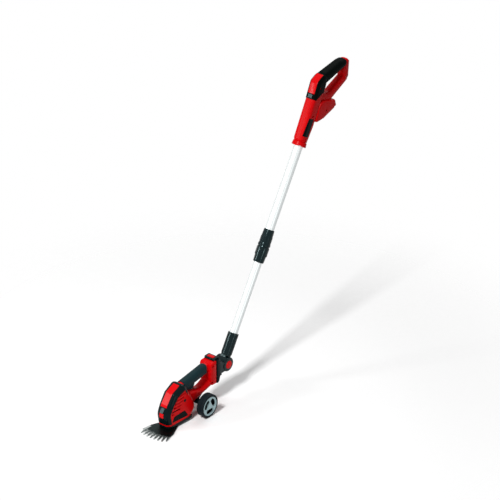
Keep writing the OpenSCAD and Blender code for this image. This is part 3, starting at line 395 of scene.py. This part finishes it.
def soft_rubber(name, hex_colour, pitch, depth, shine=0.06, sheen=0.02):
    """Dull elastomer with an even field of dimples, pitch metres apart and depth metres deep."""
    material, tree, shader, place = start_material(name)
    colour = linear(hex_colour)
    clouds = noise(tree, place, 30, 3)
    dots = add_node(tree, "TexVoronoi", [("Vector", place), ("Scale", 1 / pitch), ("Randomness", 0.0)])
    dimple = band(tree, dots.outputs["Distance"], 0.18, 0.42)
    skin = noise(tree, place, 2200, 2)
    height = maths(tree, "ADD", dimple, vary(tree, skin, 0, 0.25))
    fill(tree, shader, [
        ("Base Color", tint(tree, clouds, shade(colour, 0.8), shade(colour, 1.25))),
        ("Roughness", vary(tree, clouds, 0.46, 0.6)),
        ("Normal", relief(tree, height, 0.55, depth, soft_edge(tree, RUBBER_EDGE))),
        ("Specular IOR Level", shine),
        ("Sheen Weight", sheen),
        ("Sheen Roughness", 0.4),
    ])
    return material


# One elastomer in two colours: the head's grip is painted lighter as painted light, and the handle's darker
# as painted shade.
lit_grip_rubber = soft_rubber("lit_grip_rubber", "#13292d", GRIP_PITCH, GRIP_DEPTH)
shaded_grip_rubber = soft_rubber("shaded_grip_rubber", "#030706", GRIP_PITCH, GRIP_DEPTH, shine=0.02, sheen=0.0)
tyre_rubber = soft_rubber("tyre_rubber", "#121b20", TYRE_PITCH, TYRE_DEPTH)
print("rubbers:", [m.name for m in (lit_grip_rubber, shaded_grip_rubber, tyre_rubber)])

# %% [markdown]
# ## Metals
# Three brushed metals are made here: clear-anodised aluminium for the pole, bright zinc for screws, clips and
# the steel inside, and brass for the contacts. On the pole and the brass the noise is stretched along the
# direction of work; on the zinc it is even. On the pole that direction leans back 31.3 degrees, and a Mapping
# node turns the pattern with it. The anodised skin is a clear oxide, so the pole's finish is only partly
# metallic.

# %% Metal finish
METAL_EDGE = 0.0004
POLE_FOOT = (0, 0.207, 0.102)
POLE_LEAN = math.radians(31.3)


def brushed_metal(name, hex_colour, gloss, strokes, place_at=(0, 0, 0), turn=(0, 0, 0), depth=0.00003,
                  spots=0.0, bare=1.0):
    """Metal with fine strokes. Strokes is the grain's size in metres along x, y and z, spots how dull the
    tarnish is, and bare is 1 with no oxide."""
    material, tree, shader, place = start_material(name)
    colour = linear(hex_colour)
    along = add_node(tree, "Mapping", [
        ("Vector", place), ("Location", place_at), ("Rotation", turn), ("Scale", strokes)
    ], vector_type="TEXTURE").outputs["Vector"]
    fine = noise(tree, along, 1.0, 4, 0.6)
    clouds = noise(tree, place, 22, 3)
    tarnish = band(tree, noise(tree, place, 140, 4, 0.7), 0.62, 0.78)
    dull = maths(tree, "ADD", vary(tree, fine, gloss - 0.06, gloss + 0.06), vary(tree, tarnish, 0.0, spots))
    fill(tree, shader, [
        ("Base Color", tint(tree, fine, shade(colour, 0.86), shade(colour, 1.08))),
        ("Roughness", maths(tree, "ADD", dull, vary(tree, clouds, -0.03, 0.03))),
        ("Normal", relief(tree, fine, 0.3, depth, soft_edge(tree, METAL_EDGE))),
        ("Metallic", bare),
    ])
    return material


pole_alloy = brushed_metal("anodised_aluminium", "#e2e7e7", 0.34, (0.0006, 0.0006, 0.3),
                           POLE_FOOT, (-POLE_LEAN, 0, 0), depth=0.000012, bare=0.45)
zinc = brushed_metal("bright_zinc", "#c3c5c6", 0.28, (0.001, 0.001, 0.001), spots=0.1)
brass = brushed_metal("contact_brass", "#c9a45a", 0.3, (0.004, 0.0004, 0.0004))
print("metals:", [m.name for m in (pole_alloy, zinc, brass)])

# %% [markdown]
# ## Blade steel
# A shear blade is dark where the steel keeps its black oxide, and bright where a wheel has ground the teeth.
# The pivot is the frame's origin, so the distance from the upright axis tells plate from teeth. The border
# wanders a little, as hand grinding leaves it, and fine strokes run out along the teeth. A Bevel node with
# a radius of a millimetre and a half finds the cutting edges, so that each tooth has a bright rim.

# %% Blade finish
RIM_RADIUS = 0.0015
BLADE_EDGE = 0.0003
BORDER_HALF = 0.003
BORDER_WANDER = 0.004
STROKE_SIZE = (0.0005, 0.03, 0.0005)
STROKE_DEPTH = 0.00002


def blade_steel(name, plate_hex, teeth_hex, ground_from, middle):
    """Blackened plate inside a radius in metres and ground steel outside it. Middle is how bright the face of
    a tooth is beside its rim."""
    material, tree, shader, place = start_material(name)
    plate, teeth = linear(plate_hex), linear(teeth_hex)
    level = add_node(tree, "VectorMath", [(0, place), (1, (1, 1, 0))], operation="MULTIPLY").outputs["Vector"]
    reach = add_node(tree, "VectorMath", [(0, level)], operation="LENGTH").outputs["Value"]
    border = maths(tree, "ADD", reach, vary(tree, noise(tree, place, 60), -BORDER_WANDER, BORDER_WANDER))
    outside = band(tree, border, ground_from - BORDER_HALF, ground_from + BORDER_HALF)
    near_rim = likeness(tree, soft_edge(tree, RIM_RADIUS, samples=6))
    ground = maths(tree, "MULTIPLY", outside, vary(tree, band(tree, near_rim, 0.82, 0.99), 1.0, middle))

    along = add_node(tree, "Mapping", [
        ("Vector", place), ("Scale", STROKE_SIZE)
    ], vector_type="TEXTURE").outputs["Vector"]
    strokes = noise(tree, along, 1.0, 4, 0.6)
    stain = band(tree, noise(tree, place, 170, 4, 0.7), 0.6, 0.8)
    bright = tint(tree, strokes, shade(teeth, 0.82), shade(teeth, 1.1))
    dark = tint(tree, stain, plate, shade(plate, 1.9))
    fill(tree, shader, [
        ("Base Color", tint(tree, ground, dark, bright)),
        ("Roughness", maths(tree, "ADD", vary(tree, ground, 0.42, 0.26), vary(tree, strokes, -0.05, 0.05))),
        ("Normal", relief(tree, strokes, 0.3, STROKE_DEPTH, soft_edge(tree, BLADE_EDGE))),
        ("Metallic", 1.0),
    ])
    return material


mover_steel = blade_steel("moving_blade_steel", "#14201f", "#b4bcba", 0.117, 0.2)
comb_steel = blade_steel("comb_blade_steel", "#232c2c", "#cdd3d1", 0.1, 0.7)
print("blade steels:", [m.name for m in (mover_steel, comb_steel)])

# %% [markdown]
# ## Smooth shading without touching the mesh
# A CAD node's mesh is loose flat triangles, and it is never edited here. Modifiers may act on it, though: a
# small geometry-nodes group welds the triangles and marks every edge under 34 degrees as smooth, and a
# Weighted Normal modifier then keeps the large faces flat. The round edges lose their facets and the shape
# stays exactly where it was.

# %% Weld and smooth
WELD = 0.000004
SMOOTH_BELOW = math.radians(34)

group = bpy.data.node_groups.new("weld_and_smooth", "GeometryNodeTree")
group.interface.new_socket("Geometry", in_out="INPUT", socket_type="NodeSocketGeometry")
group.interface.new_socket("Geometry", in_out="OUTPUT", socket_type="NodeSocketGeometry")
enter = group.nodes.new("NodeGroupInput")
leave = group.nodes.new("NodeGroupOutput")
weld = group.nodes.new("GeometryNodeMergeByDistance")
weld.inputs["Distance"].default_value = WELD
faces = group.nodes.new("GeometryNodeSetShadeSmooth")
edges = group.nodes.new("GeometryNodeSetShadeSmooth")
edges.domain = "EDGE"
angle = group.nodes.new("GeometryNodeInputMeshEdgeAngle")
below = group.nodes.new("FunctionNodeCompare")
below.operation = "LESS_THAN"
below.inputs["B"].default_value = SMOOTH_BELOW
group.links.new(enter.outputs[0], weld.inputs["Geometry"])
group.links.new(weld.outputs[0], faces.inputs["Geometry"])
group.links.new(faces.outputs[0], edges.inputs["Geometry"])
group.links.new(angle.outputs["Unsigned Angle"], below.inputs["A"])
group.links.new(below.outputs[0], edges.inputs["Shade Smooth"])
group.links.new(edges.outputs[0], leave.inputs[0])


def keep_flats(piece):
    """Adds a modifier that lets the large faces decide the shading at the edges between them."""
    flat = piece.modifiers.new("keep_flats", "WEIGHTED_NORMAL")
    flat.keep_sharp = True
    flat.weight = 90


print("smooth below", round(math.degrees(SMOOTH_BELOW)), "degrees")

# %% [markdown]
# ## Dress the construction model
# Each CAD node gets its finish by name, as a maker's parts list would say what each piece is made of.

# %% Give each node its finish
FINISHES = {
    red_shell: ["left_shell", "right_shell", "handle_left_shell", "handle_right_shell", "battery_rails"],
    red_gloss: ["nose_panel", "release_trim", "handle_panel", "adapter_latch", "tilt_button"],
    black_shell: ["nose_cover", "sole", "adapter", "wheel_bracket", "tube_bush", "head_contacts",
                  "battery_contacts", "lock_off_button"],
    polished_black: ["tilt_fork", "pole_socket", "lock_nut", "lock_body"],
    black_gloss: ["badge_plate", "handle_badge_plate"],
    grey_button: ["release_button", "handle_lock_off", "lock_collet", "head_switch", "handle_switch"],
    pale_grey: ["left_hub_cap", "right_hub_cap"],
    nylon: ["drive_gear"],
    lit_grip_rubber: ["left_soft_grip", "right_soft_grip", "head_trigger"],
    shaded_grip_rubber: ["handle_left_grip", "handle_right_grip", "handle_trigger"],
    tyre_rubber: ["left_wheel", "right_wheel"],
    pole_alloy: ["lower_tube", "upper_tube"],
    comb_steel: ["comb_blade"],
    mover_steel: ["moving_blade"],
    zinc: ["housing_screws", "handle_screws", "blade_screws", "axle", "axle_clips", "tilt_pin", "tilt_spring",
           "gear_axle", "blade_pivot", "motor", "motor_plate", "motor_pinion"],
}

dressed = set()
for finish, names in FINISHES.items():
    for name in names:
        node = nodes[name]
        node.data.materials.clear()
        node.data.materials.append(finish)
        node.modifiers.new("weld_and_smooth", "NODES").node_group = group
        keep_flats(node)
        dressed.add(name)
print("dressed", len(dressed), "of", len(nodes), "missing:", sorted(set(nodes) - dressed))

# %% [markdown]
# ## Rounded edges on the hard pieces
# No moulded piece has a razor edge: a mould maker rounds every outer corner, and that small radius is what
# catches the light. The turned and plate-like pieces of the construction model have sharp corners, so each
# gets a copy that stands in for it. The copy is welded, its flat triangles are joined into whole faces, and
# a Bevel modifier rounds every edge over 35 degrees.

# %% Helpers for copies
FLAT_WITHIN = math.radians(0.4)


def only(piece):
    """Makes a piece the one that operators act on."""
    bpy.ops.object.select_all(action="DESELECT")
    piece.select_set(True)
    bpy.context.view_layer.objects.active = piece


def welded_copy(node, name, join_flats=False):
    """A copy of a CAD node with its triangles welded and, if asked, its flat ones joined into whole faces."""
    piece = bpy.data.objects.new(name, node.data.copy())
    bpy.context.collection.objects.link(piece)
    only(piece)
    bpy.ops.object.mode_set(mode="EDIT")
    bpy.ops.mesh.select_all(action="SELECT")
    bpy.ops.mesh.remove_doubles(threshold=WELD)
    if join_flats:
        bpy.ops.mesh.dissolve_limited(angle_limit=FLAT_WITHIN)
    bpy.ops.object.mode_set(mode="OBJECT")
    return piece


def round_edges(piece, width, segments, above):
    """Rounds the edges of a piece that turn by more than an angle in degrees."""
    only(piece)
    edge = piece.modifiers.new("round_edges", "BEVEL")
    edge.width = width
    edge.segments = segments
    edge.limit_method = "ANGLE"
    edge.angle_limit = math.radians(above)
    bpy.ops.object.modifier_apply(modifier="round_edges")


print("copy helpers ready")

# %% [markdown]
# The larger mouldings get nearly a millimetre, and the finer ones a little over half of one, because a bevel
# has to stay narrower than the ribs and steps that it runs along.

# %% Rounded copies
ROUNDED = {
    0.0009: ["left_hub_cap", "right_hub_cap", "tilt_fork", "pole_socket"],
    0.0006: ["lock_nut", "lock_body", "adapter_latch", "wheel_bracket", "release_button"],
}


def rounded_copy(name, width):
    """A copy of a CAD node with rounded edges, on the same body and in the same finish."""
    node = nodes[name]
    piece = welded_copy(node, name + "_rounded", join_flats=True)
    round_edges(piece, width, segments=3, above=35)
    bpy.ops.object.shade_smooth_by_angle(angle=SMOOTH_BELOW)
    keep_flats(piece)
    bpy.ops.object.modifier_apply(modifier="keep_flats")
    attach(piece, body_of(node)[0])
    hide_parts(name)
    return piece


copies = [rounded_copy(name, width) for width, names in ROUNDED.items() for name in names]
print("rounded copies:", {c.name: len(c.data.polygons) for c in copies})

# %% [markdown]
# ## Screws
# The halves are held by self-tapping screws with a pan head and a cross recess. One screw is modelled on the
# x axis: a shank whose end face is extruded and widened into the head, the head's rim drawn in twice for
# the pan shape, and two crossed bars cut out of it.

# %% Helpers for modelling
def pick(piece, test):
    """Selects the faces of a piece that pass a test, and enters edit mode."""
    only(piece)
    bpy.ops.object.mode_set(mode="EDIT")
    bpy.ops.mesh.select_all(action="DESELECT")
    bpy.ops.mesh.select_mode(type="FACE")
    bpy.ops.object.mode_set(mode="OBJECT")
    for face in piece.data.polygons:
        face.select = test(face)
    bpy.ops.object.mode_set(mode="EDIT")


def extrude_and_scale(step, factor):
    """Extrudes the picked face along x, then scales it across the x axis."""
    bpy.ops.mesh.extrude_region_move(TRANSFORM_OT_translate={"value": (step, 0, 0)})
    if factor != 1:
        bpy.ops.transform.resize(value=(1, factor, factor), center_override=(0, 0, 0))


def join_pieces(pieces, name, finish):
    """Joins pieces into one with a name and a finish."""
    only(pieces[0])
    for piece in pieces:
        piece.select_set(True)
    bpy.ops.object.join()
    joined = bpy.context.object
    joined.name = name
    joined.data.materials.append(finish)
    return joined


print("modelling helpers ready")

# %% [markdown]
# The head's profile is a list of steps: how far each ring goes along the axis, as a share of the head's
# thickness, and how much narrower it is than the one before.

# %% Model one screw
HEAD_R = 0.0035
SHANK_R = 0.0018
HEAD_T = 0.0025
HEAD_STEPS = [(0, HEAD_R / SHANK_R), (0.55, 1), (0.3, 0.86), (0.15, 0.78)]
RECESS_BAR = (0.0028, 0.001, 0.0042)


def model_screw(length):
    """A screw along x whose head rests at x = 0 and stands out to HEAD_T."""
    bpy.ops.object.select_all(action="DESELECT")
    bpy.ops.mesh.primitive_cylinder_add(vertices=28, radius=SHANK_R, depth=length,
                                        location=(-length / 2, 0, 0), rotation=(0, math.pi / 2, 0))
    screw = bpy.context.object
    bpy.ops.object.transform_apply(location=True, rotation=True, scale=True)
    pick(screw, lambda face: face.normal.x > 0.9)
    for share, factor in HEAD_STEPS:
        extrude_and_scale(HEAD_T * share, factor)
    bpy.ops.mesh.select_all(action="SELECT")
    bpy.ops.mesh.remove_doubles(threshold=0.000002)
    bpy.ops.object.mode_set(mode="OBJECT")
    for turn in (45, 135):
        bpy.ops.object.select_all(action="DESELECT")
        bpy.ops.mesh.primitive_cube_add(size=1, location=(HEAD_T, 0, 0), rotation=(math.radians(turn), 0, 0),
                                        scale=RECESS_BAR)
        bar = bpy.context.object
        cut = screw.modifiers.new("recess", "BOOLEAN")
        cut.object = bar
        cut.solver = "EXACT"
        only(screw)
        bpy.ops.object.modifier_apply(modifier="recess")
        bpy.data.objects.remove(bar)
    round_edges(screw, 0.00012, segments=2, above=40)
    bpy.ops.object.shade_smooth_by_angle(angle=SMOOTH_BELOW)
    return screw


print("screw head:", HEAD_R * 2000, "mm across")

# %% [markdown]
# The screw is copied to each place, each copy with its own mesh, and the copies of one set are joined into
# the piece that stands for the plain ones. The places are those of the screw wells: in the head they are
# lengths and heights in the frame, and on the handle they are measured behind and along the pole.

# %% Set the screws
HEAD_SEAT = 0.011
HANDLE_SEAT = 0.009
HEAD_SCREWS = [(-62, 52), (29, 58), (100, 62), (127, 75), (129, 132)]
HANDLE_SCREWS = [(-4, 800), (-17, 888), (106, 950), (52, 830)]


def pole_point(back, along, across=0.0):
    """A place given in millimetres behind and along the pole, and metres across, as metres in the frame."""
    return Vector((
        across,
        POLE_FOOT[1] + (math.cos(POLE_LEAN) * back + math.sin(POLE_LEAN) * along) / 1000,
        POLE_FOOT[2] + (-math.sin(POLE_LEAN) * back + math.cos(POLE_LEAN) * along) / 1000,
    ))


def screw_set(name, node_name, length, places):
    """Copies one screw to each place and joins the copies into the piece that stands for a CAD node."""
    first = model_screw(length)
    copies = []
    for spot in places:
        copy = first.copy()
        copy.data = first.data.copy()
        copy.data.transform(Matrix.Translation(spot))
        bpy.context.collection.objects.link(copy)
        copies.append(copy)
    bpy.data.objects.remove(first)
    piece = join_pieces(copies, name, zinc)
    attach(piece, body_of(nodes[node_name])[0])
    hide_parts(node_name)
    return piece


head_set = screw_set("head_screws", "housing_screws", 0.0238,
                     [Vector((HEAD_SEAT, y / 1000, z / 1000)) for y, z in HEAD_SCREWS])
handle_set = screw_set("grip_screws", "handle_screws", 0.0198,
                       [pole_point(back, along, HANDLE_SEAT) for back, along in HANDLE_SCREWS])
print("screw faces:", {piece.name: len(piece.data.polygons) for piece in (head_set, handle_set)})

# %% [markdown]
# ## Contacts in the battery port
# With no battery fitted, the port shows its contact block: three slots, each with a brass tongue that the
# battery pushes on to. A tongue is a thin plate with a blunt, rounded front edge. It is shaped from a cube in
# the port's own frame, and one matrix then carries it to the slanted face of the foot.

# %% Contact tongues
PORT_TURN = math.atan2(56, 51)
TONGUE_SIZE = (0.0008, 0.023, 0.006)
TONGUE_MIDDLE = 0.032
TONGUE_HEIGHT = 0.0018
TONGUE_TIP = TONGUE_HEIGHT - TONGUE_SIZE[2] / 2

to_port = (
    Matrix.Translation(pole_point(46, 799))
    @ Matrix.Rotation(-POLE_LEAN, 4, "X")
    @ Matrix.Rotation(PORT_TURN, 4, "X")
)


def contact_tongue(across):
    """One brass tongue in the slot at that distance from the middle."""
    bpy.ops.object.select_all(action="DESELECT")
    bpy.ops.mesh.primitive_cube_add(size=1, location=(across, TONGUE_MIDDLE, TONGUE_HEIGHT),
                                    scale=TONGUE_SIZE)
    tongue = bpy.context.object
    bpy.ops.object.transform_apply(location=True, rotation=True, scale=True)
    pick(tongue, lambda face: face.normal.z < -0.9)
    bpy.ops.transform.resize(value=(0.5, 0.9, 1), center_override=(across, TONGUE_MIDDLE, TONGUE_TIP))
    bpy.ops.object.mode_set(mode="OBJECT")
    round_edges(tongue, 0.00018, segments=2, above=30)
    tongue.data.transform(to_port)
    return tongue


port_tongues = join_pieces([contact_tongue(x) for x in (-0.01, 0.0, 0.01)], "port_tongues", brass)
bpy.ops.object.shade_smooth_by_angle(angle=SMOOTH_BELOW)
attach(port_tongues, "upper_pole")
print("tongues at", [round(v, 3) for v in port_tongues.data.vertices[0].co])

# %% [markdown]
# ## Spring behind the tilt button
# The red button on the tilt joint rests on a small coil spring. When the button goes in, the spring gets
# shorter and its inner end stays where it is. A welded, smoothly shaded copy of the coil, with a mesh of its
# own, stands for the solid one on the same body.

spring_node = nodes["tilt_spring"]
coil = welded_copy(spring_node, "button_coil")
bpy.ops.object.shade_smooth_by_angle(angle=SMOOTH_BELOW)
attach(coil, body_of(spring_node)[0])
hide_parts("tilt_spring")
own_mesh(coil)
